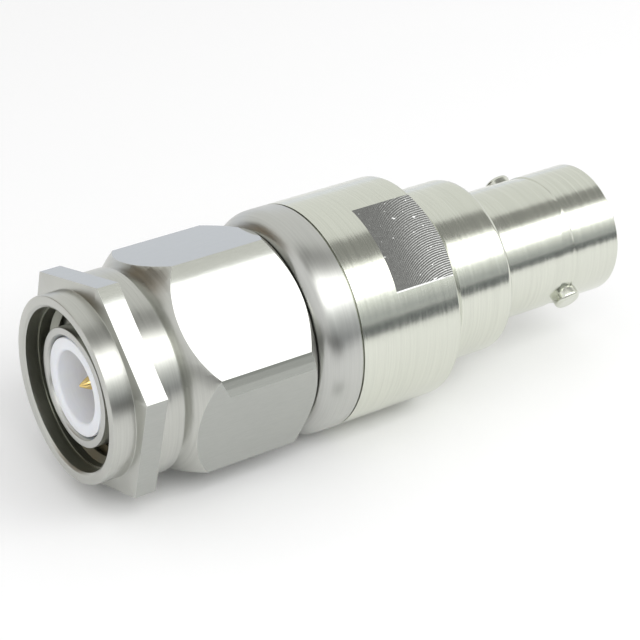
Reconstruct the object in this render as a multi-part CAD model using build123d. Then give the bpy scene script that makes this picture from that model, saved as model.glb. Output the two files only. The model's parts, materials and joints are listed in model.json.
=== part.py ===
from build123d import *
import os
from math import atan2, cos, hypot, radians, sqrt, tan

os.makedirs("parts", exist_ok=True)

# Coax adapter: a threaded plug with a loose hex coupling nut at -X, a bayonet jack at +X.
# It lies on its side, on the big barrel of its body. A corner of the nut, just above the ground,
# stops it rolling.
# Lengths are in millimetres. Places along the axis are counted from the nut's front face.

# Clearances
seat_gap = 0.02  # round parts that sit in each other and do not move
running_gap = 0.05  # the nut on its shank
loose_gap = 0.30  # between the turning nut and what it only passes
thread_gap = 0.03  # each side of an assembly thread, drawn plain

# Coupling nut, outside
hex_across_flats = 25.4 * 9 / 16
lip_radius = 6.47
lip_length = 1.65
lip_edge = 0.08
flange_length = 1.55
band_radius = 7.10
band_length = 1.65
groove_radius = 6.45
groove_rise = 0.45
groove_length = 0.57
hex_round_length = 2.08
hex_land = 6.63
rear_bevel_length = 1.10
rear_bevel_radius = 7.12
nut_turn = 14.93

# Coupling nut, inside
mouth_radius = 5.84
mouth_bevel = 0.14
counterbore_radius = 5.66
counterbore_length = 0.96
thread_radius = 25.4 * 7 / 16 / 2
thread_length = 5.00
thread_to_seat = 1.50
ring_slot_radius = 5.80

# Plug side of the body
contact_setback = 0.65
contact_radius = 4.14
contact_bore = 3.51
contact_length = 6.60
shank_radius = 4.95
ring_groove_radius = 4.35
ring_groove_place = 11.40
collar_gap = 0.15
collar_length = 2.95
collar_front_radius = 7.05
collar_round_length = 1.50
seam_edge = 0.05
spigot_radius = 6.50
spigot_length = 4.00

# Outside of the body and of the bayonet jack
barrel_radius = 8.05
barrel_length = 8.10
wrench_flat_depth = 0.735
wrench_flat_length = 4.75
wrench_flat_turn = 36.8
slope_length = 1.42
step_radius = 6.39
step_length = 6.10
shell_radius = 4.83
shell_length = 10.94
shell_root = 0.35
shell_edge = 0.12
lug_radius = 0.98
lug_height = 0.67
lug_to_mouth = 4.25
lug_turn = 124.5
lug_edge = 0.15

# Inside of the body
stack_radius = 5.00
stack_wall = 1.50
thread_runout = 0.20
line_radius = 3.50
jack_bore_radius = 4.06
jack_bore_depth = 8.40
jack_bore_edge = 0.25

# Insulators
plug_nose_setback = 0.10
plug_nose_radius = 3.41
plug_cup_radius = 2.50
plug_cup_depth = 5.50
plug_cup_edge = 0.40
plug_bead_radius = 3.90
plug_step_place = 5.00
plug_bead_length = 4.00
support_bead_length = 2.00
jack_flange_length = 2.00
jack_nose_radius = 2.375
jack_nose_length = 5.20

# Centre conductor
pin_radius = 0.675
pin_setback = 1.10
pin_point_radius = 0.08
pin_point_length = 1.40
bead_pin_radius = 1.05
line_pin_radius = 1.52
stud_radius = 0.60
stud_length = 2.50
socket_setback = 0.14
socket_bore_radius = 0.68
socket_bore_depth = 5.20
socket_slit_width = 0.20
socket_slit_depth = 4.60
socket_slits = 4

# Snap ring and gasket
snap_ring_thickness = 0.70
snap_ring_radius = 5.45
snap_ring_gap = 30.0
gasket_radius = 5.30
gasket_thickness = 0.90

# Places along the axis that follow from the sizes above
flange_front = lip_length
flange_back = flange_front + flange_length
band_back = flange_back + band_length
groove_back = band_back + groove_length
hex_front = groove_back + hex_round_length
hex_back = hex_front + hex_land
nut_length = hex_back + rear_bevel_length
thread_start = mouth_bevel + counterbore_length
seat_front = thread_start + thread_length + thread_to_seat
collar_front = nut_length + collar_gap
seam = collar_front + collar_length
shoulder = contact_setback + contact_length
spigot_end = seam + spigot_length
barrel_back = seam + barrel_length
slope_back = barrel_back + slope_length
step_back = barrel_back + step_length
mouth = step_back + shell_length
stack_end = step_back - stack_wall
jack_shoulder = mouth - jack_bore_depth
flange_seat = stack_end - jack_flange_length
plug_bead_back = plug_step_place + plug_bead_length
support_bead_front = spigot_end - support_bead_length
jack_nose_front = jack_shoulder + jack_nose_length
socket_tip = jack_nose_front - socket_setback

# How it lies
seam_turn = 1.9  # start of each turned surface, so that a meshed copy rests on the middle of a facet
corner_radius = hex_across_flats / sqrt(3)
axis_height = max(barrel_radius, corner_radius * cos(radians(nut_turn)))
half_length = mouth / 2


def level_bow(length, drop):
    """Bow of an arc that ends level with the axis after this length and drop."""
    return hypot(length, drop) / 2 * tan(atan2(drop, length) / 2)


def turned(outline, sweep=360.0):
    """Turn a closed outline about the axis. Its points are (place, radius).

    A third value bows the stretch that arrives at the point, to the left of its way.
    """
    edges = []
    for start, end in zip(outline, outline[1:] + outline[:1]):
        first = Vector(start[0], 0, start[1])
        last = Vector(end[0], 0, end[1])
        if len(end) == 3:
            across = (last - first).normalized()
            side = Vector(-across.Z, 0, across.X)
            edges.append(ThreePointArc(first, (first + last) / 2 + side * end[2], last))
        else:
            edges.append(Line(first, last))
    return revolve(Face(Wire(edges)), Axis.X, revolution_arc=sweep)


def rolled(shape, turn):
    """Roll a shape that points up about the axis, towards -Y."""
    return Rot(X=turn) * shape


def coupling_nut():
    """Hex nut with a round lip, a hex flange, a turned band and groove, and the coupling thread."""
    ring_slot_front = ring_groove_place - loose_gap
    ring_slot_back = ring_groove_place + snap_ring_thickness + seat_gap + loose_gap
    bore_radius = shank_radius + running_gap
    round_foot = groove_radius + groove_rise
    round_bow = level_bow(hex_round_length, corner_radius - round_foot)
    body = turned([
        (0, mouth_radius),
        (0, lip_radius - lip_edge),
        (lip_edge, lip_radius),
        (flange_front, lip_radius),
        (flange_front, corner_radius),
        (flange_back, corner_radius),
        (flange_back, band_radius),
        (band_back, band_radius),
        (band_back, groove_radius),
        (groove_back, round_foot),
        (hex_front, corner_radius, round_bow),
        (hex_back, corner_radius),
        (nut_length, rear_bevel_radius),
        (nut_length, bore_radius),
        (ring_slot_back, bore_radius),
        (ring_slot_back, ring_slot_radius),
        (ring_slot_front, ring_slot_radius),
        (ring_slot_front, bore_radius),
        (seat_front, bore_radius),
        (seat_front, thread_radius),
        (thread_start, thread_radius),
        (thread_start, counterbore_radius),
        (mouth_bevel, counterbore_radius),
    ])
    stock = Plane.YZ * RegularPolygon(corner_radius, 6, rotation=90)
    return body & rolled(extrude(stock, nut_length), nut_turn)


def plug_body():
    """Outer contact, shank, rounded collar and threaded spigot, turned in one piece."""
    ring_groove_back = ring_groove_place + snap_ring_thickness + seat_gap
    collar_drop = barrel_radius - collar_front_radius
    tube_bore = plug_nose_radius + seat_gap
    body = turned([
        (contact_setback, contact_bore),
        (contact_setback, contact_radius),
        (shoulder, contact_radius),
        (shoulder, shank_radius),
        (ring_groove_place, shank_radius),
        (ring_groove_place, ring_groove_radius),
        (ring_groove_back, ring_groove_radius),
        (ring_groove_back, shank_radius),
        (collar_front, shank_radius),
        (collar_front, collar_front_radius),
        (collar_front + collar_round_length, barrel_radius, level_bow(collar_round_length, collar_drop)),
        (seam - seam_edge, barrel_radius),
        (seam, barrel_radius - seam_edge),
        (seam, spigot_radius - thread_gap),
        (spigot_end, spigot_radius - thread_gap),
        (spigot_end, plug_bead_radius),
        (plug_step_place, plug_bead_radius),
        (plug_step_place, tube_bore),
        (plug_step_place / 2, tube_bore),
        (plug_step_place / 2, contact_bore),
    ])
    return rolled(body, seam_turn)


def main_body():
    """Barrel with two wrench flats, slope, step and bayonet shell with its two lugs, in one piece."""
    body = turned([
        (seam, spigot_radius),
        (seam, barrel_radius),
        (barrel_back, barrel_radius),
        (slope_back, step_radius),
        (step_back, step_radius),
        (step_back, shell_radius + shell_root),
        (step_back + shell_root, shell_radius),
        (mouth - shell_edge, shell_radius),
        (mouth, shell_radius - shell_edge),
        (mouth, jack_bore_radius + jack_bore_edge),
        (mouth - jack_bore_edge, jack_bore_radius),
        (jack_shoulder, jack_bore_radius),
        (jack_shoulder, line_radius),
        (stack_end, line_radius),
        (stack_end, stack_radius),
        (spigot_end + thread_runout, stack_radius),
        (spigot_end + thread_runout, spigot_radius),
    ])
    body = rolled(body, seam_turn)
    for turn in (lug_turn, lug_turn + 180):
        body += rolled(bayonet_lug(), turn)
    for turn in (wrench_flat_turn, wrench_flat_turn + 180):
        body -= rolled(wrench_cut(), turn)
    return body


def bayonet_lug():
    """One lug, standing up from inside the shell's wall to its tip."""
    root = (jack_bore_radius + shell_radius) / 2
    height = shell_radius + lug_height - root
    lug = Cylinder(lug_radius, height, align=(Align.CENTER, Align.CENTER, Align.MIN))
    lug = chamfer(lug.edges().sort_by(Axis.Z)[-1], lug_edge)
    return Pos(mouth - lug_to_mouth, 0, root) * lug


def wrench_cut():
    """What the mill takes off the top of the barrel. The flat runs out through the slope."""
    length = wrench_flat_length + slope_length
    width = 2 * barrel_radius
    cut = Box(length, width, wrench_flat_depth, align=(Align.MAX, Align.CENTER, Align.MIN))
    return Pos(slope_back, 0, barrel_radius - wrench_flat_depth) * cut


def plug_insulator():
    """Cup round the pin in front, and the bead that holds the pin behind."""
    front = contact_setback + plug_nose_setback
    cup_floor = front + plug_cup_depth
    bead_radius = plug_bead_radius - seat_gap
    pin_hole = bead_pin_radius + seat_gap
    return turned([
        (front, plug_cup_radius + plug_cup_edge),
        (front, plug_nose_radius),
        (plug_step_place, plug_nose_radius),
        (plug_step_place, bead_radius),
        (plug_bead_back, bead_radius),
        (plug_bead_back, pin_hole),
        (cup_floor, pin_hole),
        (cup_floor, plug_cup_radius),
        (front + plug_cup_edge, plug_cup_radius),
    ])


def line_tube(front, back, radius):
    """Spacer that keeps two insulators apart and is the outer conductor between them."""
    return turned([(front, line_radius), (front, radius), (back, radius), (back, line_radius)])


def support_bead():
    """Bead that carries the joint of the centre conductor."""
    hole = bead_pin_radius + seat_gap
    radius = plug_bead_radius - seat_gap
    return turned([
        (support_bead_front, hole),
        (support_bead_front, radius),
        (spigot_end, radius),
        (spigot_end, hole),
    ])


def jack_insulator():
    """Flange clamped in the body, and the nose that stands in the bayonet jack."""
    hole = bead_pin_radius + seat_gap
    return turned([
        (flange_seat, hole),
        (flange_seat, stack_radius - seat_gap),
        (stack_end, stack_radius - seat_gap),
        (stack_end, line_radius - seat_gap),
        (jack_shoulder, line_radius - seat_gap),
        (jack_shoulder, jack_nose_radius),
        (jack_nose_front, jack_nose_radius),
        (jack_nose_front, hole),
    ])


def centre_pin():
    """Pointed pin, bead length, thick line length, and the stud that screws into the socket."""
    point_end = pin_setback + pin_point_length
    bead_front = contact_setback + plug_nose_setback + plug_cup_depth
    return turned([
        (pin_setback, 0),
        (pin_setback, pin_point_radius),
        (point_end, pin_radius),
        (bead_front, pin_radius),
        (bead_front, bead_pin_radius),
        (plug_bead_back, bead_pin_radius),
        (plug_bead_back, line_pin_radius),
        (support_bead_front, line_pin_radius),
        (support_bead_front, bead_pin_radius),
        (spigot_end, bead_pin_radius),
        (spigot_end, stud_radius),
        (spigot_end + stud_length, stud_radius),
        (spigot_end + stud_length, 0),
    ])


def centre_socket():
    """Thick line length with the stud's hole, and the slit socket in the jack's nose."""
    stud_hole = stud_radius + thread_gap
    stud_hole_end = spigot_end + stud_length + thread_runout
    socket = turned([
        (spigot_end, stud_hole),
        (spigot_end, line_pin_radius),
        (flange_seat, line_pin_radius),
        (flange_seat, bead_pin_radius),
        (socket_tip, bead_pin_radius),
        (socket_tip, socket_bore_radius),
        (socket_tip - socket_bore_depth, socket_bore_radius),
        (socket_tip - socket_bore_depth, 0),
        (stud_hole_end, 0),
        (stud_hole_end, stud_hole),
    ])
    slit = Box(socket_slit_depth, socket_slit_width, 2 * bead_pin_radius, align=(Align.MAX, Align.CENTER, Align.MIN))
    for number in range(socket_slits):
        socket -= rolled(Pos(socket_tip, 0, 0) * slit, number * 360 / socket_slits)
    return socket


def snap_ring():
    """Open ring that hangs in the shank's groove and holds the nut on."""
    front = ring_groove_place + seat_gap / 2
    back = front + snap_ring_thickness
    inner = ring_groove_radius + seat_gap
    outline = [(front, inner), (front, snap_ring_radius), (back, snap_ring_radius), (back, inner)]
    return rolled(turned(outline, 360 - snap_ring_gap), snap_ring_gap / 2)


def gasket():
    """Flat rubber ring against the shoulder behind the outer contact."""
    inner = contact_radius + seat_gap
    front = shoulder - gasket_thickness
    return turned([(front, inner), (front, gasket_radius), (shoulder, gasket_radius), (shoulder, inner)])


nodes = {
    "coupling_nut": coupling_nut(),
    "snap_ring": snap_ring(),
    "coupling_gasket": gasket(),
    "plug_body": plug_body(),
    "plug_insulator": plug_insulator(),
    "plug_line_tube": line_tube(plug_bead_back, support_bead_front, plug_bead_radius - seat_gap),
    "support_bead": support_bead(),
    "jack_line_tube": line_tube(spigot_end, flange_seat, stack_radius - seat_gap),
    "jack_insulator": jack_insulator(),
    "centre_pin": centre_pin(),
    "centre_socket": centre_socket(),
    "main_body": main_body(),
}

# The row's origin is on the ground, under the middle of the adapter's length
rest = Pos(-half_length, 0, axis_height)
for name, solid in nodes.items():
    export_step(rest * solid, f"parts/{name}.step")
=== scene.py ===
import json
from math import acos, atan2, ceil, cos, hypot, pi, radians, sin, sqrt, tan

import bmesh
import bpy
from bpy.props import FloatProperty, FloatVectorProperty, PointerProperty
from mathutils import Matrix, Vector


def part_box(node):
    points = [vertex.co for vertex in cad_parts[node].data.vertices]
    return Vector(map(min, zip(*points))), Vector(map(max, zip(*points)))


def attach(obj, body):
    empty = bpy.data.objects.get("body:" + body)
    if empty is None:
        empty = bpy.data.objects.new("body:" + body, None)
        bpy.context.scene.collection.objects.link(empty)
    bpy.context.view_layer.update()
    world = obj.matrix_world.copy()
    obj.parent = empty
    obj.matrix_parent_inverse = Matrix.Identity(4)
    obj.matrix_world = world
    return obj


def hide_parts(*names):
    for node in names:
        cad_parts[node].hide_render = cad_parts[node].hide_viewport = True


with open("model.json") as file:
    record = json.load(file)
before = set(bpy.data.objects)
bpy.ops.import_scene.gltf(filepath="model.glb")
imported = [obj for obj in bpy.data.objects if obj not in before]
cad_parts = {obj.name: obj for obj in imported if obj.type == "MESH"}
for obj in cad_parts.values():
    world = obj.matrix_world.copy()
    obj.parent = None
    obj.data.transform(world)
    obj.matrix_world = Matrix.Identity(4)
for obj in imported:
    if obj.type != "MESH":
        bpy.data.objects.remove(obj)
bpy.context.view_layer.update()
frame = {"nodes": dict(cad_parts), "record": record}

bl_info = {
    "name": "Coax Adapter",
    "version": (1, 0, 0),
    "blender": (4, 5, 0),
    "location": "View3D > Sidebar > Coax Adapter",
    "description": "Pieces of an adapter from a threaded plug to a bayonet jack",
    "category": "Object",
}

# Places along the axis are counted from the nut's front face, and every size is in millimetres
mm = 0.001
nut_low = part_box("coupling_nut")[0]
body_low, body_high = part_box("main_body")
axis_start = Vector((nut_low.x, 0.0, (body_low.z + body_high.z) / 2))
barrel_radius = (body_high.z - body_low.z) / 2 / mm
mount_dims = {mount["name"]: mount["dims"] for mount in frame["record"]["mounts"]}
shell_radius = mount_dims["jack_shell"]["r_mm"]
thread_radius = mount_dims["coupling_thread"]["r_mm"]
socket_bore_radius = mount_dims["jack_socket"]["r_mm"]
pin_radius = mount_dims["plug_pin"]["r_mm"]

# Small sizes of the pieces: gaps, bevels, and the holes that take what is inside
running_gap, seat_gap = 0.05, 0.02
seat_to_shoulder = 0.35
thread_gap, thread_sink = 0.05, 0.02
contact_bevel, contact_bevel_length = 0.14, 0.22
bead_place, bead_step = 4.35, 0.49
spigot_depth, spigot_wall = 4.20, 1.55
stack_wall, stack_step = 1.50, 1.50
jack_bevel, jack_bevel_length = 0.20, 0.30
jack_flange = 2.00
lug_foot = 0.40
pin_tip_radius, pin_tip_length, pin_point_bow = 0.08, 0.03, 0.06
socket_bevel, socket_bevel_length = 0.12, 0.15

# Metres within which two places count as near, or as the same
near = 1e-6
same = 1e-7


def front_of(node):
    """Place of a node's front end along the axis."""
    return (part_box(node)[0].x - nut_low.x) / mm


def back_of(node):
    """Place of a node's rear end along the axis."""
    return (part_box(node)[1].x - nut_low.x) / mm


def radius_of(node):
    """Largest radius of a round node."""
    low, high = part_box(node)
    return (high.y - low.y) / 2 / mm


def number(name, default, description, **limits):
    """A plain number that a user can change."""
    return FloatProperty(name=name, description=description, default=default, **limits)


def length(name, default, description):
    """A length in millimetres that a user can change."""
    return number(name, default, description, min=0.0, precision=3)


def turn_of(name, default, description):
    """An angle in degrees about the adapter's axis."""
    return number(name, radians(default), description, subtype="ANGLE")


def tint(name, default, description):
    """A linear colour that a user can change."""
    return FloatVectorProperty(name=name, description=description, default=default, size=3,
                               subtype="COLOR", min=0.0, max=1.0)


class NutSizes(bpy.types.PropertyGroup):
    across_flats: length("Across flats", 14.2875, "Between opposite wrench flats")
    nut_turn: turn_of("Turn", 14.93, "Turn of the first corner from straight up")
    lip_radius: length("Lip radius", 6.47, "Round lip at the front")
    lip_length: length("Lip length", 1.65, "Round lip at the front")
    flange_length: length("Flange length", 1.55, "Short hex behind the lip")
    band_radius: length("Band radius", 7.10, "Turned band behind the short hex")
    band_length: length("Band length", 1.65, "Turned band behind the short hex")
    groove_radius: length("Groove radius", 6.35, "Foot of the groove")
    groove_length: length("Groove length", 0.45, "Straight floor of the groove")
    cone_length: length("Cone length", 1.90, "Cone between groove and long hex")
    cone_bow: length("Cone bow", 0.12, "How far the cone bulges")
    hex_land: length("Hex length", 6.93, "Long hex between its turned ends")
    flat_edge: length("Flat edge", 0.045, "Bevel round each milled flat")
    bevel_radius: length("Bevel radius", 7.12, "Foot of the rear bevel")
    mouth_radius: length("Mouth radius", 5.84, "Mouth at the front face")
    mouth_bevel: length("Mouth bevel", 0.14, "Length of the bevel inside the mouth")
    wall_radius: length("Wall radius", 5.66, "Smooth wall in front of the thread")
    wall_length: length("Wall length", 0.96, "Smooth wall in front of the thread")
    thread_pitch: length("Thread pitch", 25.4 / 28, "From turn to turn")
    thread_depth: length("Thread depth", 0.44, "Height of the thread's ridge")
    thread_turns: number("Thread turns", 5.3, "Number of turns", min=1.0)


class PlugSizes(bpy.types.PropertyGroup):
    contact_radius: length("Contact radius", 4.14, "Outside of the contact ring")
    contact_bore: length("Contact bore", 3.51, "Inner radius of the contact ring")
    shoulder: length("Shoulder place", 7.25, "Where the contact ring meets the shank")
    shank_radius: length("Shank radius", 4.95, "Shank in the nut")
    collar_gap: length("Collar gap", 0.15, "Between the nut's rear face and the collar")
    collar_front_radius: length("Collar front radius", 7.05, "Front face of the collar")
    collar_round: length("Collar round", 1.50, "Length of the collar's round")
    seam_width: length("Seam width", 0.07, "Half the width of the seam")
    seam_depth: length("Seam depth", 0.22, "Depth of the seam behind the collar")
    spigot_radius: length("Spigot radius", 6.47, "Thread that enters the body")
    nose_radius: length("Nose radius", 3.41, "Outside of the white cup")
    cup_radius: length("Cup radius", 2.50, "Inside of the white cup")
    cup_depth: length("Cup depth", 5.50, "Depth of the white cup")
    cup_bevel: length("Cup bevel", 0.12, "Bevel at the white cup's rim")
    pin_point: length("Pin point", 1.40, "Length of the pin's point")


class BodySizes(bpy.types.PropertyGroup):
    barrel_length: length("Barrel length", 8.10, "Barrel behind the seam")
    barrel_edge: length("Barrel edge", 0.06, "Round where the barrel meets the slope")
    slope_length: length("Slope length", 1.42, "Slope behind the barrel")
    flat_depth: length("Flat depth", 0.735, "Depth of each wrench flat")
    flat_length: length("Flat length", 4.75, "Length of each wrench flat")
    flat_turn: turn_of("Flat turn", 36.8, "Turn of the near wrench flat from straight up")
    flat_edge: length("Flat edge", 0.05, "Bevel round each wrench flat")
    cutter_radius: length("Cutter radius", 4.76, "End mill that cut the flats")
    cutter_place: length("Cutter place", 26.4, "Where the end mill's centre ran")
    cutter_feed: length("Cutter feed", 0.165, "Distance between two ridges")
    step_radius: length("Step radius", 6.39, "Step behind the barrel")
    step_length: length("Step length", 6.10, "Step and its slope")
    step_edge: length("Step edge", 0.50, "Round at the step's rear edge")
    shell_root: length("Shell root", 0.55, "Fillet between the step and the shell")
    band_depth: length("Shell band depth", 0.07, "Shallow band on the shell")
    band_length: length("Shell band length", 1.10, "Shallow band near the lugs")
    band_to_mouth: length("Shell band place", 4.05, "From the band's rear end to the mouth")
    band_reach: turn_of("Shell band reach", 50.0, "How far from a lug it keeps its length")
    band_end: turn_of("Shell band end", 87.5, "How far from a lug it has run out")
    lug_radius: length("Lug radius", 0.98, "Bayonet lug")
    lug_height: length("Lug height", 0.67, "Height of a lug above the shell")
    lug_to_mouth: length("Lug place", 4.25, "From a lug's centre to the mouth")
    lug_turn: turn_of("Lug turn", 124.5, "Turn of the near lug from straight up")
    lug_round: length("Lug round", 0.28, "Round at a lug's tip")
    jack_bore_radius: length("Jack bore radius", 4.06, "Inside of the shell")
    jack_bore_depth: length("Jack bore depth", 8.40, "Depth of the shell")
    line_radius: length("Line radius", 3.50, "Hole behind the jack's nose")
    jack_nose_radius: length("Jack nose radius", 2.375, "Insulator's nose in the jack")
    socket_radius: length("Socket radius", 1.05, "Outside of the socket contact")
    socket_slit: length("Socket slit", 0.20, "Width of the socket's slits")
    slit_depth: length("Slit depth", 4.60, "Depth of the socket's slits")
    socket_depth: length("Socket depth", 5.20, "Depth of the socket's bore")


class Finishes(bpy.types.PropertyGroup):
    brushed: tint("Brushed nickel", (0.67, 0.685, 0.61), "Barrel, step and shell")
    polished: tint("Bright nickel", (0.54, 0.545, 0.52), "Collar and contact ring")
    turned: tint("Turned nickel", (0.53, 0.535, 0.50), "Coupling nut")
    hex_flat: tint("Hex flats", (0.445, 0.455, 0.43), "Milled flats of the coupling nut")
    # The bore nickel is the turned nickel made darker: painted shade inside the nut, on its bore
    # and thread
    shadowed: tint("Bore nickel", (0.34, 0.345, 0.30), "Thread and bore inside the nut")
    milled: tint("Milled flat", (0.42, 0.425, 0.415), "Wrench flats on the barrel")
    gold: tint("Gold", (0.83, 0.62, 0.25), "Pin and socket")
    white: tint("White insulator", (0.86, 0.88, 0.93), "Cup and nose")
    rubber: tint("Rubber", (0.03, 0.03, 0.035), "Gasket")
    brass: tint("Brass", (0.70, 0.52, 0.26), "Spacer tubes and snap ring")


class StudioSizes(bpy.types.PropertyGroup):
    azimuth: turn_of("Camera azimuth", -34.364, "Camera's turn round the part")
    elevation: turn_of("Camera elevation", 28.28, "Camera's angle above the horizon")
    nose_right: number("Nose right", -16.708, "Nut's front centre, right of the middle")
    nose_up: number("Nose up", -4.638, "Nut's front centre, above the middle")
    nose_away: number("Nose away", 146.904, "Nut's front centre, from the camera")
    lens: number("Lens", 126.31, "Focal length on a 36 mm sensor")
    world_light: number("World light", 0.75, "Even light from all round", min=0.0, max=1.0)
    key_light: number("Key light", 2.2, "Brightness of the long softbox")
    card_distance: length("Card distance", 250.0, "From the axis to the softbox")


# Shape tools

def at(place, radius, edge=0.0, bow=0.0):
    """A corner of an outline. Edge bevels it, and bow bends the stretch that arrives at it."""
    return Vector((place, 0.0, radius)), edge, bow


def bent(first, last, bow):
    """Points between two corners on an arc with this bow, to the left of its way."""
    chord = last - first
    side = Vector((-chord.z, 0.0, chord.x)).normalized()
    half = chord.length / 2
    radius = (half * half + bow * bow) / (2 * abs(bow))
    centre = (first + last) / 2 + side * (bow - radius if bow > 0 else bow + radius)
    start, end = first - centre, last - centre
    angle = start.angle(end)
    if start.cross(end).y < 0:
        angle = -angle
    steps = max(2, ceil(abs(angle) / radians(5)))
    return [centre + Matrix.Rotation(angle * step / steps, 3, "Y") @ start
            for step in range(1, steps)]


def level_bow(reach, rise):
    """Bow of an arc that ends level with the axis after this reach and rise."""
    return hypot(reach, rise) / 2 * tan(atan2(rise, reach) / 2)


def face_out(bm):
    """Make every face look out of its shape."""
    bmesh.ops.recalc_face_normals(bm, faces=bm.faces[:])


def broken(bm, geom, offset, segments=2, affect="EDGES", material=0):
    """Bevel edges or corners."""
    return bmesh.ops.bevel(bm, geom=geom, offset=offset * mm, offset_type="OFFSET",
                           segments=segments, profile=0.5, affect=affect, material=material,
                           clamp_overlap=True)


def outline(bm, corners, closed=True):
    """Draw corners as a line above the axis and round its edges."""
    line, edged = [], {}
    for index, (point, edge, bow) in enumerate(corners):
        if bow:
            arc = bent(corners[index - 1][0], point, bow)
            line += [bm.verts.new(spot * mm) for spot in arc]
        line.append(bm.verts.new(point * mm))
        if edge:
            edged.setdefault(edge, []).append(line[-1])
    pairs = list(zip(line, line[1:]))
    if closed:
        pairs.append((line[-1], line[0]))
    for pair in pairs:
        bm.edges.new(pair)
    for edge, verts in edged.items():
        broken(bm, verts, edge, 3, "VERTICES", -1)


def turned(corners, closed=True, steps=240, start=0.0):
    """Spin an outline round the axis to a closed shape."""
    bm = bmesh.new()
    outline(bm, corners, closed)
    bmesh.ops.rotate(bm, verts=bm.verts[:], cent=(0, 0, 0), matrix=Matrix.Rotation(start, 3, "X"))
    bmesh.ops.spin(bm, geom=bm.verts[:] + bm.edges[:], cent=(0, 0, 0), axis=(1, 0, 0),
                   dvec=(0, 0, 0), angle=2 * pi, steps=steps, use_merge=True,
                   use_duplicate=False)
    bmesh.ops.remove_doubles(bm, verts=bm.verts[:], dist=same)
    face_out(bm)
    return bm


def outward(turn):
    """Direction away from the axis at a turn from straight up, towards the near side."""
    return Vector((0.0, -sin(turn), cos(turn)))


def cut_by_plane(bm, point, facing, dist, clear=False):
    """Cut the shape by a plane, and clear what lies past it if asked. Returns the cut."""
    return bmesh.ops.bisect_plane(bm, geom=bm.verts[:] + bm.edges[:] + bm.faces[:], dist=dist,
                                  plane_co=point, plane_no=facing, clear_outer=clear)["geom_cut"]


def fill_loops(bm, edges):
    """Close each open loop of cut edges with one face."""
    rims = [edge for edge in edges if edge.is_boundary]
    return bmesh.ops.holes_fill(bm, edges=rims, sides=0)["faces"]


def added(name, data):
    """Make an object of this data in the scene."""
    made = bpy.data.objects.new(name, data)
    bpy.context.scene.collection.objects.link(made)
    return made


def shaped(bm, name, materials):
    """Make an object of this shape."""
    mesh = bpy.data.meshes.new(name)
    bm.to_mesh(mesh)
    bm.free()
    for material in materials:
        mesh.materials.append(material)
    return added(name, mesh)


def finished(bm, name, body, looks, node=None):
    """Make the shape a piece with its body, its finishes and the node that it stands for."""
    bmesh.ops.translate(bm, verts=bm.verts[:], vec=axis_start)
    for face in bm.faces:
        face.smooth = True
    piece = shaped(bm, name, [finish(look) for look in looks])
    piece.data.set_sharp_from_angle(angle=radians(35))
    evened = piece.modifiers.new("Even normals", "WEIGHTED_NORMAL")
    evened.weight = 100
    evened.keep_sharp = True
    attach(piece, body)
    if node:
        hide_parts(node)


# Material tools

# Most values of a noise lie between these two
noise_low, noise_high = 0.3, 0.7


def new_material(name, constants=None):
    """A material, its node tree and its shader with these constants."""
    material = bpy.data.materials.new(name)
    material.use_nodes = True
    tree = material.node_tree
    shader = tree.nodes["Principled BSDF"]
    for key, value in (constants or {}).items():
        shader.inputs[key].default_value = value
    return material, tree, shader


def node(tree, kind, inputs=None, **settings):
    """Add a node. An input may be a value or another node's output."""
    made = tree.nodes.new(kind)
    for key, value in settings.items():
        setattr(made, key, value)
    for key, value in (inputs or {}).items():
        if isinstance(value, bpy.types.NodeSocket):
            tree.links.new(value, made.inputs[key])
        else:
            made.inputs[key].default_value = value
    return made


def feed(tree, shader, sources):
    """Link outputs to the shader's inputs."""
    for key, source in sources.items():
        tree.links.new(source, shader.inputs[key])


def maths(tree, operation, first, second=0.0, third=0.0, clamp=False):
    """A number worked out from one to three others."""
    return node(tree, "ShaderNodeMath", {0: first, 1: second, 2: third}, operation=operation,
                use_clamp=clamp).outputs[0]


def vectors(tree, operation, first, second=(0.0, 0.0, 0.0)):
    """A vector worked out from one or two others."""
    return node(tree, "ShaderNodeVectorMath", {0: first, 1: second}, operation=operation).outputs[0]


def scaled(tree, vector, factor):
    """A vector times a number."""
    return node(tree, "ShaderNodeVectorMath", {0: vector, "Scale": factor},
                operation="SCALE").outputs[0]


def on_the_axis(tree, scale=(1.0, 1.0, 1.0), turn=0.0):
    """Object coordinates in millimetres, counted from the axis at the nut's front face."""
    place = node(tree, "ShaderNodeTexCoord").outputs["Object"]
    centred = vectors(tree, "SUBTRACT", place, tuple(axis_start))
    inputs = {"Vector": centred, "Rotation": (turn, 0.0, 0.0),
              "Scale": tuple(value / mm for value in scale)}
    return node(tree, "ShaderNodeMapping", inputs, vector_type="POINT").outputs[0]


def noise(tree, fineness, detail, roughness):
    """Noise with this many waves a millimetre along each axis."""
    return node(tree, "ShaderNodeTexNoise", {"Vector": on_the_axis(tree, fineness), "Scale": 1.0,
                                             "Detail": detail, "Roughness": roughness})


def ranged(tree, value, low, high, start=0.0, end=1.0):
    """Map a value from low to high onto start to end."""
    return node(tree, "ShaderNodeMapRange", {"Value": value, "From Min": low, "From Max": high,
                                             "To Min": start, "To Max": end}).outputs[0]


def moved(tree, value, amount, middle=0.0):
    """A number that a noise moves by this amount about its middle."""
    centred = maths(tree, "SUBTRACT", value, 0.5)
    return maths(tree, "MULTIPLY_ADD", centred, amount, middle)


def tilted(tree, streaks, along, around):
    """The surface's normal tilted by two channels of a noise, along the axis and around it."""
    split = node(tree, "ShaderNodeSeparateColor", {0: streaks.outputs["Color"]})
    normal = node(tree, "ShaderNodeNewGeometry").outputs["Normal"]
    ahead = scaled(tree, (1.0, 0.0, 0.0), moved(tree, split.outputs[0], along))
    tangent = vectors(tree, "CROSS_PRODUCT", (1.0, 0.0, 0.0), normal)
    across = scaled(tree, tangent, moved(tree, split.outputs[1], around))
    lean = vectors(tree, "ADD", ahead, across)
    return vectors(tree, "NORMALIZE", vectors(tree, "ADD", normal, lean))


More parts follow.
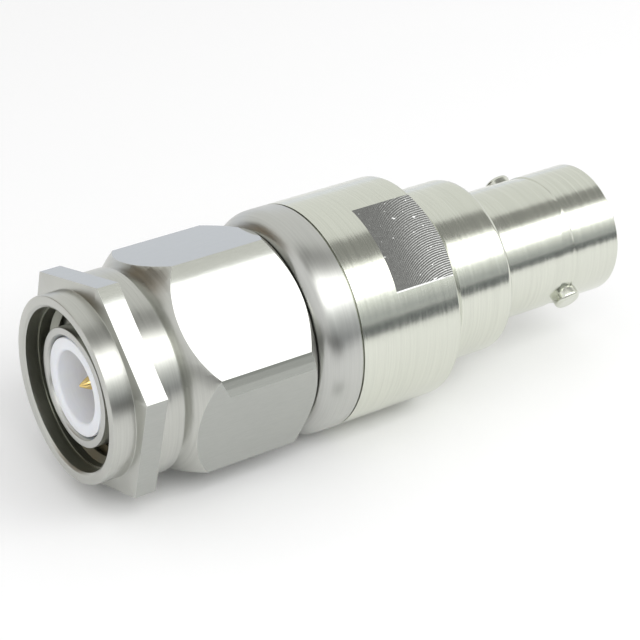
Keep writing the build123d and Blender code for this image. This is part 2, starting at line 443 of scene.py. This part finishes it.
def shaded(tree, colour, cloud, low, high):
    """A colour made a little darker or lighter by a noise."""
    factor = ranged(tree, cloud.outputs["Fac"], noise_low, noise_high, low, high)
    return scaled(tree, tuple(colour), factor)


def lathe_metal(name, colour, roughness, along, around, line=0.10, run=9.0):
    """Nickel with fine lines round the axis, as a lathe or a brush on a turning part leaves."""
    material, tree, shader = new_material(name, {"Metallic": 1.0})
    lines = noise(tree, (1 / line, 1 / run, 1 / run), 3.0, 0.7)
    cloud = noise(tree, (0.25, 0.25, 0.25), 3.0, 0.5)
    worn = moved(tree, lines.outputs["Fac"], 0.10, roughness)
    feed(tree, shader, {
        "Normal": tilted(tree, lines, along, around),
        "Roughness": moved(tree, cloud.outputs["Fac"], 0.06, worn),
        "Base Color": shaded(tree, colour, lines, 0.92, 1.05),
    })
    return material


def flat_metal(name, colour, roughness, grain_tilt=0.0012):
    """Nickel on a milled hex flat, almost a mirror, with a faint grain along the cut."""
    material, tree, shader = new_material(name, {"Metallic": 1.0})
    grain = noise(tree, (1.2, 9.0, 9.0), 3.0, 0.6)
    cloud = noise(tree, (0.3, 0.3, 0.3), 2.0, 0.5)
    feed(tree, shader, {
        "Normal": tilted(tree, grain, grain_tilt, grain_tilt),
        "Roughness": moved(tree, cloud.outputs["Fac"], 0.02, roughness),
        "Base Color": shaded(tree, colour, grain, 0.96, 1.02),
    })
    return material


def milled_metal(name, colour, body):
    """A wrench flat with the ridges that an end mill leaves as it is fed round the barrel."""
    wander, ridge_lean, fading = 2.0, 0.15, 2.5
    chip_low, chip_high, chip_lean = 0.725, 0.77, 0.26
    burr_start, burr_end = 0.13, 0.07
    half_width = sqrt(barrel_radius ** 2 - (barrel_radius - body.flat_depth) ** 2)
    material, tree, shader = new_material(name, {"Metallic": 1.0, "Roughness": 0.24})

    # Ridges on arcs about the cutter's centre, which are fainter where it only grazed the flat
    place = node(tree, "ShaderNodeSeparateXYZ", {0: on_the_axis(tree, turn=-body.flat_turn)})
    behind = maths(tree, "SUBTRACT", body.cutter_place, place.outputs["X"])
    ahead = maths(tree, "DIVIDE", behind, body.cutter_radius)
    rest = maths(tree, "SUBTRACT", 1.0, maths(tree, "MULTIPLY", ahead, ahead), clamp=True)
    aside = maths(tree, "SQRT", rest)
    wobble = noise(tree, (0.5, 1.3, 1.3), 3.0, 0.6).outputs["Fac"]
    reach = maths(tree, "MULTIPLY", aside, body.cutter_radius)
    arc = maths(tree, "SUBTRACT", reach, place.outputs["Y"])
    waves = maths(tree, "MULTIPLY", arc, 2 * pi / body.cutter_feed)
    phase = maths(tree, "MULTIPLY_ADD", wobble, wander, waves)
    deep = maths(tree, "MULTIPLY", maths(tree, "POWER", aside, fading), ridge_lean)
    lean = maths(tree, "MULTIPLY", maths(tree, "COSINE", phase), deep)
    back = maths(tree, "MULTIPLY", aside, -1.0)
    across = node(tree, "ShaderNodeCombineXYZ", {0: ahead, 1: back}).outputs[0]
    ridges = node(tree, "ShaderNodeVectorRotate",
                  {"Vector": scaled(tree, across, lean), "Axis": (1.0, 0.0, 0.0),
                   "Angle": body.flat_turn}, rotation_type="AXIS_ANGLE").outputs[0]

    # Bright chips and a burr along the lower edge
    fleck = noise(tree, (5.0, 5.0, 5.0), 2.0, 0.6)
    speck = noise(tree, (2.6, 3.4, 3.4), 1.0, 0.4).outputs["Fac"]
    chip = ranged(tree, speck, chip_low, chip_high)
    burr = ranged(tree, place.outputs["Y"], -half_width + burr_start, -half_width + burr_end)
    risen = maths(tree, "MULTIPLY", maths(tree, "MAXIMUM", chip, burr), chip_lean)
    lifted = scaled(tree, tuple(outward(body.flat_turn + pi / 2)), risen)
    normal = node(tree, "ShaderNodeNewGeometry").outputs["Normal"]
    leaning = vectors(tree, "ADD", vectors(tree, "ADD", normal, ridges), lifted)
    feed(tree, shader, {
        "Normal": vectors(tree, "NORMALIZE", leaning),
        "Base Color": shaded(tree, colour, fleck, 0.92, 1.08),
    })
    return material


def fine_turned(name, colour, constants, line, run, along, around, low, high):
    """A smooth turned piece with faint tool lines. Line and run are how many a millimetre has."""
    material, tree, shader = new_material(name, constants)
    lines = noise(tree, (line, run, run), 2.0, 0.5)
    feed(tree, shader, {
        "Normal": tilted(tree, lines, along, around),
        "Base Color": shaded(tree, colour, lines, low, high),
    })
    return material


def soft_rubber(name, colour):
    """Moulded rubber with a faint bloom."""
    material, tree, shader = new_material(name)
    bloom = noise(tree, (2.5, 2.5, 2.5), 4.0, 0.6)
    feed(tree, shader, {
        "Base Color": shaded(tree, colour, bloom, 0.85, 1.25),
        "Roughness": ranged(tree, bloom.outputs["Fac"], noise_low, noise_high, 0.48, 0.66),
    })
    return material


def finish(name):
    """A material by name, made the first time it is asked for."""
    if name in bpy.data.materials:
        return bpy.data.materials[name]
    look = bpy.context.scene.coax_finishes
    body = bpy.context.scene.coax_body
    plating = {"Metallic": 1.0, "Roughness": 0.16}
    fluoropolymer = {"Roughness": 0.38, "Subsurface Weight": 0.35,
                     "Subsurface Radius": (0.6, 0.7, 1.0), "Subsurface Scale": 0.0008}
    makers = {
        "look_body": lambda: lathe_metal(name, look.brushed, 0.19, 0.20, 0.05),
        "look_collar": lambda: lathe_metal(name, look.polished, 0.31, 0.10, 0.03),
        "look_nut": lambda: lathe_metal(name, look.turned, 0.30, 0.25, 0.06),
        # The bore look is a darker copy of the nut's nickel, painted shade for the inside of the
        # nut
        "look_bore_painted_shade": lambda: lathe_metal(name, look.shadowed, 0.30, 0.10, 0.04),
        "look_hex_flat": lambda: flat_metal(name, look.hex_flat, 0.035),
        "look_wrench_flat": lambda: milled_metal(name, look.milled, body),
        "look_white": lambda: fine_turned(name, look.white, fluoropolymer, 7.0, 0.6,
                                          0.06, 0.02, 0.97, 1.0),
        "look_gold": lambda: fine_turned(name, look.gold, plating, 11.0, 0.8,
                                         0.08, 0.03, 0.94, 1.03),
        "look_brass": lambda: lathe_metal(name, look.brass, 0.25, 0.1, 0.05),
        "look_rubber": lambda: soft_rubber(name, look.rubber),
    }
    return makers[name]()


# Pieces

class COAX_OT_coupling_nut(bpy.types.Operator):
    """Turn the coupling nut, mill its six flats and break their edges"""
    bl_idname = "coax.coupling_nut"
    bl_label = "Coupling Nut"

    def execute(self, context):
        size = context.scene.coax_nut
        plug = context.scene.coax_plug
        corner = size.across_flats / sqrt(3)
        back = back_of("coupling_nut")
        flange_front = size.lip_length
        flange_back = flange_front + size.flange_length
        band_back = flange_back + size.band_length
        groove_back = band_back + size.groove_length
        hex_front = groove_back + size.cone_length
        hex_back = hex_front + size.hex_land
        wall_back = size.mouth_bevel + size.wall_length
        seat = plug.shoulder + seat_to_shoulder
        bore = plug.shank_radius + running_gap
        bm = turned([
            at(0, size.mouth_radius, 0.03),
            at(0, size.lip_radius, 0.07),
            at(flange_front, size.lip_radius, 0.04),
            at(flange_front, corner),
            at(flange_back, corner),
            at(flange_back, size.band_radius),
            at(band_back, size.band_radius, 0.03),
            at(band_back, size.groove_radius, 0.05),
            at(groove_back, size.groove_radius, 0.1),
            at(hex_front, corner, 0, size.cone_bow),
            at(hex_back, corner),
            at(back, size.bevel_radius, 0.05),
            at(back, bore, 0.1),
            at(seat, bore),
            at(seat, thread_radius),
            at(wall_back, thread_radius),
            at(wall_back, size.wall_radius),
            at(size.mouth_bevel, size.wall_radius),
        ], start=size.nut_turn)
        flats = []
        for side in range(6):
            facing = outward(size.nut_turn + radians(30 + 60 * side))
            cut = cut_by_plane(bm, facing * size.across_flats / 2 * mm, facing, 2 * near, True)
            flats += fill_loops(bm, [item for item in cut if isinstance(item, bmesh.types.BMEdge)])
        for face in flats:
            face.material_index = 1
        # Faces inside the nut behind the mouth's bevel take the darker nickel, painted shade of the
        # bore
        for face in bm.faces:
            middle = face.calc_center_median()
            reach = hypot(middle.y, middle.z)
            if reach < size.mouth_radius * mm and middle.x > size.mouth_bevel * mm:
                face.material_index = 2
        face_out(bm)
        rims = {edge for face in flats for edge in face.edges
                if edge.calc_face_angle(0) > radians(20)}
        broken(bm, list(rims), size.flat_edge)
        finished(bm, "nut_turned_and_milled", "nut",
                 ["look_nut", "look_hex_flat", "look_bore_painted_shade"], "coupling_nut")
        return {"FINISHED"}


class COAX_OT_coupling_thread(bpy.types.Operator):
    """Wind the ridge of the coupling thread inside the nut"""
    bl_idname = "coax.coupling_thread"
    bl_label = "Coupling Thread"

    def execute(self, context):
        size = context.scene.coax_nut
        steps_a_turn = 120
        start = size.mouth_bevel + size.wall_length + thread_gap
        flank, crest = 0.44 * size.thread_pitch, 0.06 * size.thread_pitch
        foot = thread_radius + thread_sink
        tip = thread_radius - size.thread_depth
        bm = bmesh.new()
        outline(bm, [
            at(start, foot),
            at(start + flank - crest, tip),
            at(start + flank + crest, tip),
            at(start + 2 * flank, foot),
        ])
        steps = round(size.thread_turns * steps_a_turn)
        bmesh.ops.spin(bm, geom=bm.verts[:] + bm.edges[:], cent=(0, 0, 0), axis=(1, 0, 0),
                       dvec=(size.thread_pitch * mm / steps_a_turn, 0, 0),
                       angle=2 * pi * size.thread_turns, steps=steps, use_merge=False,
                       use_duplicate=False)
        fill_loops(bm, bm.edges)
        face_out(bm)
        # The thread takes the darker nickel too, painted shade inside the nut
        finished(bm, "nut_thread_ridge", "nut", ["look_bore_painted_shade"])
        return {"FINISHED"}


class COAX_OT_plug_body(bpy.types.Operator):
    """Turn the contact ring, the shank and the rounded collar of the plug side"""
    bl_idname = "coax.plug_body"
    bl_label = "Plug Body"

    def execute(self, context):
        size = context.scene.coax_plug
        front, back = front_of("plug_body"), back_of("plug_body")
        seam_back = front_of("main_body")
        seam_front = seam_back - size.seam_width
        seam_foot = barrel_radius - size.seam_depth
        collar = back_of("coupling_nut") + size.collar_gap
        reach = size.collar_round
        bow = level_bow(reach, barrel_radius - size.collar_front_radius)
        bead_front = front + bead_place
        bead_bore = size.nose_radius + bead_step
        bm = turned([
            at(front + contact_bevel_length, size.contact_bore),
            at(front, size.contact_bore + contact_bevel, 0.02),
            at(front, size.contact_radius, 0.06),
            at(size.shoulder, size.contact_radius),
            at(size.shoulder, size.shank_radius, 0.05),
            at(collar, size.shank_radius),
            at(collar, size.collar_front_radius, 0.03),
            at(collar + reach, barrel_radius, 0, bow),
            at(seam_front, barrel_radius, 0.02),
            at(seam_front, seam_foot),
            at(seam_back, seam_foot),
            at(seam_back, size.spigot_radius),
            at(back, size.spigot_radius),
            at(back, bead_bore),
            at(bead_front, bead_bore),
            at(bead_front, size.contact_bore),
        ])
        finished(bm, "plug_shank_and_collar", "adapter",
                 ["look_collar"], "plug_body")
        return {"FINISHED"}


def mill_wrench_flat(bm, turn, depth, front, back):
    """Take a flat off the barrel between two places, and return the new faces."""
    facing = outward(turn)
    level = (barrel_radius - depth) * mm
    first, last = front * mm, back * mm

    def within(place):
        return first - near < place < last + near

    def stands_out(vert):
        return vert.co.dot(facing) > level + same and within(vert.co.x)

    faces = [face for face in bm.faces if face.calc_center_median().x > first + near
             and any(stands_out(vert) for vert in face.verts)
             and all(within(vert.co.x) for vert in face.verts)]
    edges = {edge for face in faces for edge in face.edges}
    verts = {vert for face in faces for vert in face.verts}
    bmesh.ops.bisect_plane(bm, geom=list(verts) + list(edges) + faces, dist=same,
                           plane_co=facing * level, plane_no=facing, clear_outer=False)
    gone = [face for face in bm.faces if face.calc_center_median().dot(facing) > level + same
            and first < face.calc_center_median().x < last + near]
    bmesh.ops.delete(bm, geom=gone, context="FACES")
    ends = [vert for vert in bm.verts if vert.is_boundary and abs(vert.co.x - first) < near
            and abs(vert.co.dot(facing) - level) < near]
    ends.sort(key=lambda vert: vert.co.cross(facing).x)
    bm.edges.new((ends[0], ends[-1]))
    rim = [edge for edge in bm.edges if len(edge.link_faces) < 2]
    return bmesh.ops.holes_fill(bm, edges=rim, sides=0)["faces"]


class COAX_OT_main_body(bpy.types.Operator):
    """Turn the barrel, the step and the bayonet shell, mill the wrench flats and set the lugs"""
    bl_idname = "coax.main_body"
    bl_label = "Main Body"

    def execute(self, context):
        size = context.scene.coax_body
        plug = context.scene.coax_plug
        seam, mouth = front_of("main_body"), back_of("main_body")
        seam_back = seam + plug.seam_width
        seam_foot = barrel_radius - plug.seam_depth
        barrel_back = seam + size.barrel_length
        slope_back = barrel_back + size.slope_length
        step_back = barrel_back + size.step_length
        flat_front = barrel_back - size.flat_length
        band_back = mouth - size.band_to_mouth
        band_front = band_back - size.band_length
        band_foot = shell_radius - size.band_depth
        bore_end = mouth - size.jack_bore_depth
        stack_back = step_back - stack_wall
        stack_radius = size.line_radius + stack_step
        spigot_end = seam + spigot_depth
        spigot_radius = barrel_radius - spigot_wall
        quarter_bow = 1 - sqrt(0.5)
        bm = turned([
            at(seam, seam_foot),
            at(seam_back, seam_foot),
            at(seam_back, barrel_radius, 0.02),
            at(flat_front, barrel_radius),
            at(barrel_back, barrel_radius, size.barrel_edge),
            at(slope_back, size.step_radius),
            at(step_back, size.step_radius, size.step_edge),
            at(step_back, shell_radius + size.shell_root),
            at(step_back + size.shell_root, shell_radius, 0, -quarter_bow * size.shell_root),
            at(band_front, shell_radius),
            at(band_front + size.band_depth, band_foot),
            at(band_back - size.band_depth, band_foot),
            at(band_back, shell_radius),
            at(mouth, shell_radius, 0.10),
            at(mouth, size.jack_bore_radius + jack_bevel, 0.02),
            at(mouth - jack_bevel_length, size.jack_bore_radius),
            at(bore_end, size.jack_bore_radius),
            at(bore_end, size.line_radius),
            at(stack_back, size.line_radius),
            at(stack_back, stack_radius),
            at(spigot_end, stack_radius),
            at(spigot_end, spigot_radius),
            at(seam, spigot_radius),
        ])
        self.taper_band(bm, size, band_front, band_back)
        flats = []
        for turn in (size.flat_turn, size.flat_turn + pi):
            made = mill_wrench_flat(bm, turn, size.flat_depth, flat_front, slope_back)
            flats += [face for face in made if abs(face.normal.x) < 0.5]
        for face in flats:
            face.material_index = 1
        face_out(bm)
        broken(bm, list({edge for face in flats for edge in face.edges}), size.flat_edge)
        for turn in (size.lug_turn, size.lug_turn + pi):
            self.add_lug(bm, size, turn, mouth)
        finished(bm, "body_barrel_step_and_shell", "adapter",
                 ["look_body", "look_wrench_flat"], "main_body")
        return {"FINISHED"}

    def taper_band(self, bm, size, front, back):
        """Let the shallow band run out between the lugs, so that it is a crescent round each."""
        lug = outward(size.lug_turn)
        slack, inner, most = 0.01, shell_radius - 0.2, 0.97
        for vert in bm.verts:
            reach = hypot(vert.co.y, vert.co.z)
            if front - slack < vert.co.x / mm < back + slack and reach > inner * mm:
                away = acos(min(1.0, abs(vert.co.dot(lug)) / reach))
                gone = (away - size.band_reach) / (size.band_end - size.band_reach)
                gone = min(min(1.0, max(0.0, gone)) ** 2, most)
                grown = (reach + gone * (shell_radius * mm - reach)) / reach
                place = vert.co.x + gone * (back * mm - vert.co.x)
                vert.co = Vector((place, vert.co.y * grown, vert.co.z * grown))

    def add_lug(self, bm, size, turn, mouth):
        """Set one bayonet lug in the shell's wall."""
        foot = shell_radius - lug_foot
        height = size.lug_height + lug_foot
        radius = size.lug_radius * mm
        made = bmesh.ops.create_cone(bm, cap_ends=True, cap_tris=False, segments=64,
                                     radius1=radius, radius2=radius, depth=height * mm)["verts"]
        middle = (foot + height / 2) * mm
        bmesh.ops.translate(bm, verts=made, vec=(0, 0, middle))
        top = {edge for vert in made for edge in vert.link_edges
               if all(end.co.z > middle for end in edge.verts)}
        bevelled = broken(bm, list(top), size.lug_round, 5, material=-1)
        lug = {vert for vert in made if vert.is_valid} | set(bevelled["verts"])
        bmesh.ops.rotate(bm, verts=list(lug), cent=(0, 0, 0), matrix=Matrix.Rotation(turn, 3, "X"))
        place = (mouth - size.lug_to_mouth) * mm
        bmesh.ops.translate(bm, verts=list(lug), vec=(place, 0, 0))


class COAX_OT_insulators(bpy.types.Operator):
    """Turn the white cup round the pin and the white nose in the jack"""
    bl_idname = "coax.insulators"
    bl_label = "Insulators"

    def execute(self, context):
        plug = context.scene.coax_plug
        body = context.scene.coax_body
        hole = body.socket_radius + seat_gap
        front, back = front_of("plug_insulator"), back_of("plug_insulator")
        bead = radius_of("plug_insulator")
        bead_front = front_of("plug_body") + bead_place
        floor = front + plug.cup_depth
        cup = turned([
            at(front, plug.cup_radius + plug.cup_bevel, 0.10),
            at(front, plug.nose_radius, 0.08),
            at(bead_front, plug.nose_radius),
            at(bead_front, bead),
            at(back, bead),
            at(back, hole),
            at(floor, hole),
            at(floor, plug.cup_radius, 0.3),
            at(front + plug.cup_bevel, plug.cup_radius, 0.12),
        ], steps=192)
        finished(cup, "plug_white_cup", "adapter", ["look_white"],
                 "plug_insulator")
        start, tip = front_of("jack_insulator"), back_of("jack_insulator")
        flange = radius_of("jack_insulator")
        flange_back = start + jack_flange
        neck = body.line_radius - seat_gap
        shoulder = back_of("main_body") - body.jack_bore_depth
        nose = turned([
            at(start, hole),
            at(start, flange),
            at(flange_back, flange),
            at(flange_back, neck),
            at(shoulder, neck, 0.05),
            at(shoulder, body.jack_nose_radius, 0.05),
            at(tip, body.jack_nose_radius, 0.15),
            at(tip, hole, 0.05),
        ], steps=160)
        finished(nose, "jack_white_nose", "adapter", ["look_white"],
                 "jack_insulator")
        return {"FINISHED"}


class COAX_OT_contacts(bpy.types.Operator):
    """Turn the gold pin, and turn and slit the gold socket"""
    bl_idname = "coax.contacts"
    bl_label = "Contacts"

    def execute(self, context):
        plug = context.scene.coax_plug
        body = context.scene.coax_body
        tip = front_of("centre_pin")
        thick = radius_of("centre_pin")
        bead_front = front_of("plug_insulator") + plug.cup_depth
        bead_back = back_of("plug_insulator")
        joint = back_of("plug_body")
        pin = turned([
            at(tip, 0.0),
            at(tip + pin_tip_length, pin_tip_radius),
            at(tip + plug.pin_point, pin_radius, 0, pin_point_bow),
            at(bead_front, pin_radius),
            at(bead_front, body.socket_radius),
            at(bead_back, body.socket_radius),
            at(bead_back, thick),
            at(joint, thick),
            at(joint, 0.0),
        ], closed=False, steps=96)
        finished(pin, "plug_gold_pin", "adapter", ["look_gold"], "centre_pin")
        start, end = front_of("centre_socket"), back_of("centre_socket")
        flange = front_of("jack_insulator")
        bore_end = end - body.socket_depth
        socket = turned([
            at(start, 0.0),
            at(start, thick),
            at(flange, thick),
            at(flange, body.socket_radius),
            at(end, body.socket_radius, 0.06),
            at(end, socket_bore_radius + socket_bevel, 0.03),
            at(end - socket_bevel_length, socket_bore_radius),
            at(bore_end, socket_bore_radius),
            at(bore_end, 0.0),
        ], closed=False, steps=96)
        self.slit(socket, body, end)
        finished(socket, "jack_gold_socket", "adapter", ["look_gold"],
                 "centre_socket")
        return {"FINISHED"}

    def slit(self, bm, body, end):
        """Cut four slits into the socket's tip and close their walls."""
        foot = (end - body.slit_depth) * mm
        half = body.socket_slit / 2 * mm
        exact = same / 10
        cut_by_plane(bm, (foot, 0, 0), (1, 0, 0), exact)
        for across in ((0, 1, 0), (0, 0, 1)):
            for side in (half, -half):
                cut_by_plane(bm, Vector(across) * side, across, exact)
        gone = []
        for face in bm.faces:
            middle = face.calc_center_median()
            if middle.x > foot and (abs(middle.y) < half or abs(middle.z) < half):
                gone.append(face)
        bmesh.ops.delete(bm, geom=gone, context="FACES")
        fill_loops(bm, bm.edges)
        face_out(bm)


class COAX_OT_hidden_pieces(bpy.types.Operator):
    """Give the pieces inside the adapter their own finishes"""
    bl_idname = "coax.hidden_pieces"
    bl_label = "Hidden Pieces"

    def execute(self, context):
        looks = {
            "snap_ring": "look_brass",
            "coupling_gasket": "look_rubber",
            "plug_line_tube": "look_brass",
            "support_bead": "look_white",
            "jack_line_tube": "look_brass",
        }
        for name, look in looks.items():
            piece = frame["nodes"][name]
            piece.data.materials.clear()
            piece.data.materials.append(finish(look))
        return {"FINISHED"}


# Studio

# Turns of the softbox's edges, its length and place, and how much farther the cards are
softbox_low, softbox_high = 30.42, 59
softbox_length, softbox_place = 600, 165
card_setback = 1.1

# Long cards behind the softbox: name, first and last turn about the axis in degrees, and colour
long_cards = (
    ("back_card", -100, -80, (0.90, 0.93, 1.00)),
    ("upper_card", -80, -3, (0.90, 0.905, 0.885)),
    ("dark_card", -3, 25, (0.31, 0.31, 0.30)),
    ("edge_card", 25, 28, (0.95, 0.95, 0.92)),
    ("strip_card", 28, softbox_low, (1.13, 1.13, 1.07)),
    ("fading_card_1", softbox_high, 65, (1.10, 1.12, 1.10)),
    ("fading_card_2", 65, 71, (0.86, 0.88, 0.86)),
    ("fading_card_3", 71, 77, (0.66, 0.68, 0.68)),
    ("fading_card_4", 77, 85, (0.46, 0.48, 0.49)),
)

# Strips on the floor: name, nearest and farthest distance in front of the axis, and colour
floor_front, floor_back = 12.9, 20.5
floor_strips = (
    ("floor_card_far", 12.75, 15.0, (0.52, 0.53, 0.51)),
    ("floor_card_middle", 12.2, 12.75, (0.68, 0.69, 0.67)),
    ("floor_card_near", 11.6, 12.2, (0.86, 0.87, 0.85)),
)

# Cards behind the nut: name, first and last compass angle in degrees, colour and distance
far_cards = (
    ("far_card", 14, 61, (0.08, 0.08, 0.075), 160.0),
    ("far_card_middle", 39, 45, (2.40, 1.40, 0.30), 150.0),
)


def glowing(name, colour):
    """A material that only gives light."""
    material, tree, shader = new_material(name)
    tree.nodes.remove(shader)
    glow = node(tree, "ShaderNodeEmission", {"Color": (*colour, 1.0), "Strength": 1.0})
    tree.links.new(glow.outputs[0], tree.nodes["Material Output"].inputs["Surface"])
    return material


def card(name, corners, colour):
    """A four-sided card that gives light and that only reflections see."""
    bm = bmesh.new()
    bm.faces.new([bm.verts.new(corner) for corner in corners])
    made = shaped(bm, name, [glowing(name + "_glow", colour)])
    for ray in ("camera", "diffuse", "shadow", "transmission", "volume_scatter"):
        setattr(made, "visible_" + ray, False)


def long_card(name, low, high, colour, distance, start=-150.0, end=450.0):
    """A long card between two turns about the axis, at a distance."""
    spots = [(start, low), (end, low), (end, high), (start, high)]
    card(name, [axis_start + Vector((place * mm, 0, 0)) + outward(radians(turn)) * distance * mm
                for place, turn in spots], colour)


def floor_card(name, low, high, colour):
    """A strip on the floor between two distances in front of the axis."""
    height = 0.01 * mm
    spots = [(floor_front, low), (floor_front, high), (floor_back, high), (floor_back, low)]
    card(name, [Vector((axis_start.x + place * mm, -away * mm, height))
                for place, away in spots], colour)


def far_card(name, start, end, colour, distance):
    """A card behind the nut that the cone and the collar's round reflect, higher at its end."""
    low, high, climb = radians(-22), radians(18), 0.62
    corners = []
    for turn, height in ((start, low), (end, low), (end, high), (start, high)):
        turn = radians(turn)
        lift = height + turn * climb
        level = Vector((-sin(turn), cos(turn), 0)) * cos(lift)
        corners.append(axis_start + (level + Vector((0, 0, sin(lift)))) * distance * mm)
    card(name, corners, colour)


class COAX_OT_studio(bpy.types.Operator):
    """Set the floor, the even light, the softbox, the cards and the camera"""
    bl_idname = "coax.studio"
    bl_label = "Studio"

    def execute(self, context):
        size = context.scene.coax_studio
        self.floor()
        self.world(context.scene, size)
        self.softbox(size)
        self.cards(size)
        self.camera(context.scene, size)
        context.scene.view_settings.view_transform = "Standard"
        return {"FINISHED"}

    def floor(self):
        """A wide white floor that shows only shadows."""
        bm = bmesh.new()
        bmesh.ops.create_grid(bm, x_segments=1, y_segments=1, size=1.5)
        white, tree, shader = new_material("white_floor", {
            "Base Color": (1.0, 1.0, 1.0, 1.0),
            "Roughness": 0.9,
            "Specular IOR Level": 0.0,
        })
        floor = shaped(bm, "floor", [white])

    def world(self, scene, size):
        """Even light that is plain white to the camera and to mirrors."""
        world = bpy.data.worlds.new("studio_world")
        scene.world = world
        world.use_nodes = True
        tree = world.node_tree
        path = node(tree, "ShaderNodeLightPath").outputs
        seen = maths(tree, "ADD", path["Is Camera Ray"], path["Is Glossy Ray"], clamp=True)
        seen = maths(tree, "ADD", seen, path["Is Transmission Ray"], clamp=True)
        strength = ranged(tree, seen, 0.0, 1.0, size.world_light, 1.0)
        background = tree.nodes["Background"]
        background.inputs["Color"].default_value = (1.0, 1.0, 1.0, 1.0)
        tree.links.new(strength, background.inputs["Strength"])

    def softbox(self, size):
        """A long softbox above the near side, whose edge draws the crisp line on the hex."""
        low, high = radians(softbox_low), radians(softbox_high)
        distance = size.card_distance * mm
        width = 2 * distance * tan((high - low) / 2)
        long = softbox_length * mm
        lamp = bpy.data.lights.new("softbox", "AREA")
        lamp.shape = "RECTANGLE"
        lamp.size, lamp.size_y = long, width
        lamp.energy = size.key_light * pi * long * width
        box = added("softbox", lamp)
        ahead, facing = Vector((1, 0, 0)), outward((low + high) / 2)
        rows = Matrix((ahead, facing.cross(ahead), facing)).transposed()
        place = axis_start + facing * distance + ahead * softbox_place * mm
        box.matrix_world = Matrix.Translation(place) @ rows.to_4x4()

    def cards(self, size):
        """What the metal mirrors round the near side, from the back over the top to the front."""
        for row in long_cards:
            long_card(*row, size.card_distance * card_setback)
        long_card("front_card", 85, 98, (0.14, 0.15, 0.16), 60.0)
        long_card("nose_card", 83, 112, (0.01, 0.01, 0.01), 55.0, end=30.2)
        for row in floor_strips:
            floor_card(*row)
        for row in far_cards:
            far_card(*row)

    def camera(self, scene, size):
        """The photograph's view: where the nut's front centre lies in it, and how far away."""
        right = Vector((cos(size.azimuth), sin(size.azimuth), 0))
        level = Vector((-sin(size.azimuth), cos(size.azimuth), 0))
        down = Vector((0, 0, -1))
        forward = level * cos(size.elevation) + down * sin(size.elevation)
        up = right.cross(forward)
        lens = bpy.data.cameras.new("camera")
        lens.lens, lens.sensor_width = size.lens, 36.0
        camera = added("camera", lens)
        camera.matrix_world = Matrix((right, up, -forward)).transposed().to_4x4()
        nose = right * size.nose_right + up * size.nose_up + forward * size.nose_away
        camera.location = axis_start - nose * mm
        scene.camera = camera


class COAX_PT_sidebar(bpy.types.Panel):
    """Lists the adapter's pieces"""
    bl_label = "Coax Adapter"
    bl_idname = "COAX_PT_sidebar"
    bl_space_type = "VIEW_3D"
    bl_region_type = "UI"
    bl_category = "Coax Adapter"

    def draw(self, context):
        for operator in operators:
            self.layout.operator(operator.bl_idname)


groups = {
    "coax_nut": NutSizes,
    "coax_plug": PlugSizes,
    "coax_body": BodySizes,
    "coax_finishes": Finishes,
    "coax_studio": StudioSizes,
}
operators = (
    COAX_OT_coupling_nut,
    COAX_OT_coupling_thread,
    COAX_OT_plug_body,
    COAX_OT_main_body,
    COAX_OT_insulators,
    COAX_OT_contacts,
    COAX_OT_hidden_pieces,
    COAX_OT_studio,
)


def register():
    """Make the settings, the operators and the panel known to the program."""
    for name, group in groups.items():
        bpy.utils.register_class(group)
        setattr(bpy.types.Scene, name, PointerProperty(type=group))
    for operator in operators:
        bpy.utils.register_class(operator)
    bpy.utils.register_class(COAX_PT_sidebar)


def unregister():
    """Take the panel, the operators and the settings away again."""
    bpy.utils.unregister_class(COAX_PT_sidebar)
    for operator in reversed(operators):
        bpy.utils.unregister_class(operator)
    for name, group in reversed(groups.items()):
        delattr(bpy.types.Scene, name)
        bpy.utils.unregister_class(group)


def main():
    """Build every piece and the studio."""
    register()
    bpy.ops.coax.coupling_nut()
    bpy.ops.coax.coupling_thread()
    bpy.ops.coax.plug_body()
    bpy.ops.coax.main_body()
    bpy.ops.coax.insulators()
    bpy.ops.coax.contacts()
    bpy.ops.coax.hidden_pieces()
    bpy.ops.coax.studio()


if __name__ == "__main__":
    main()
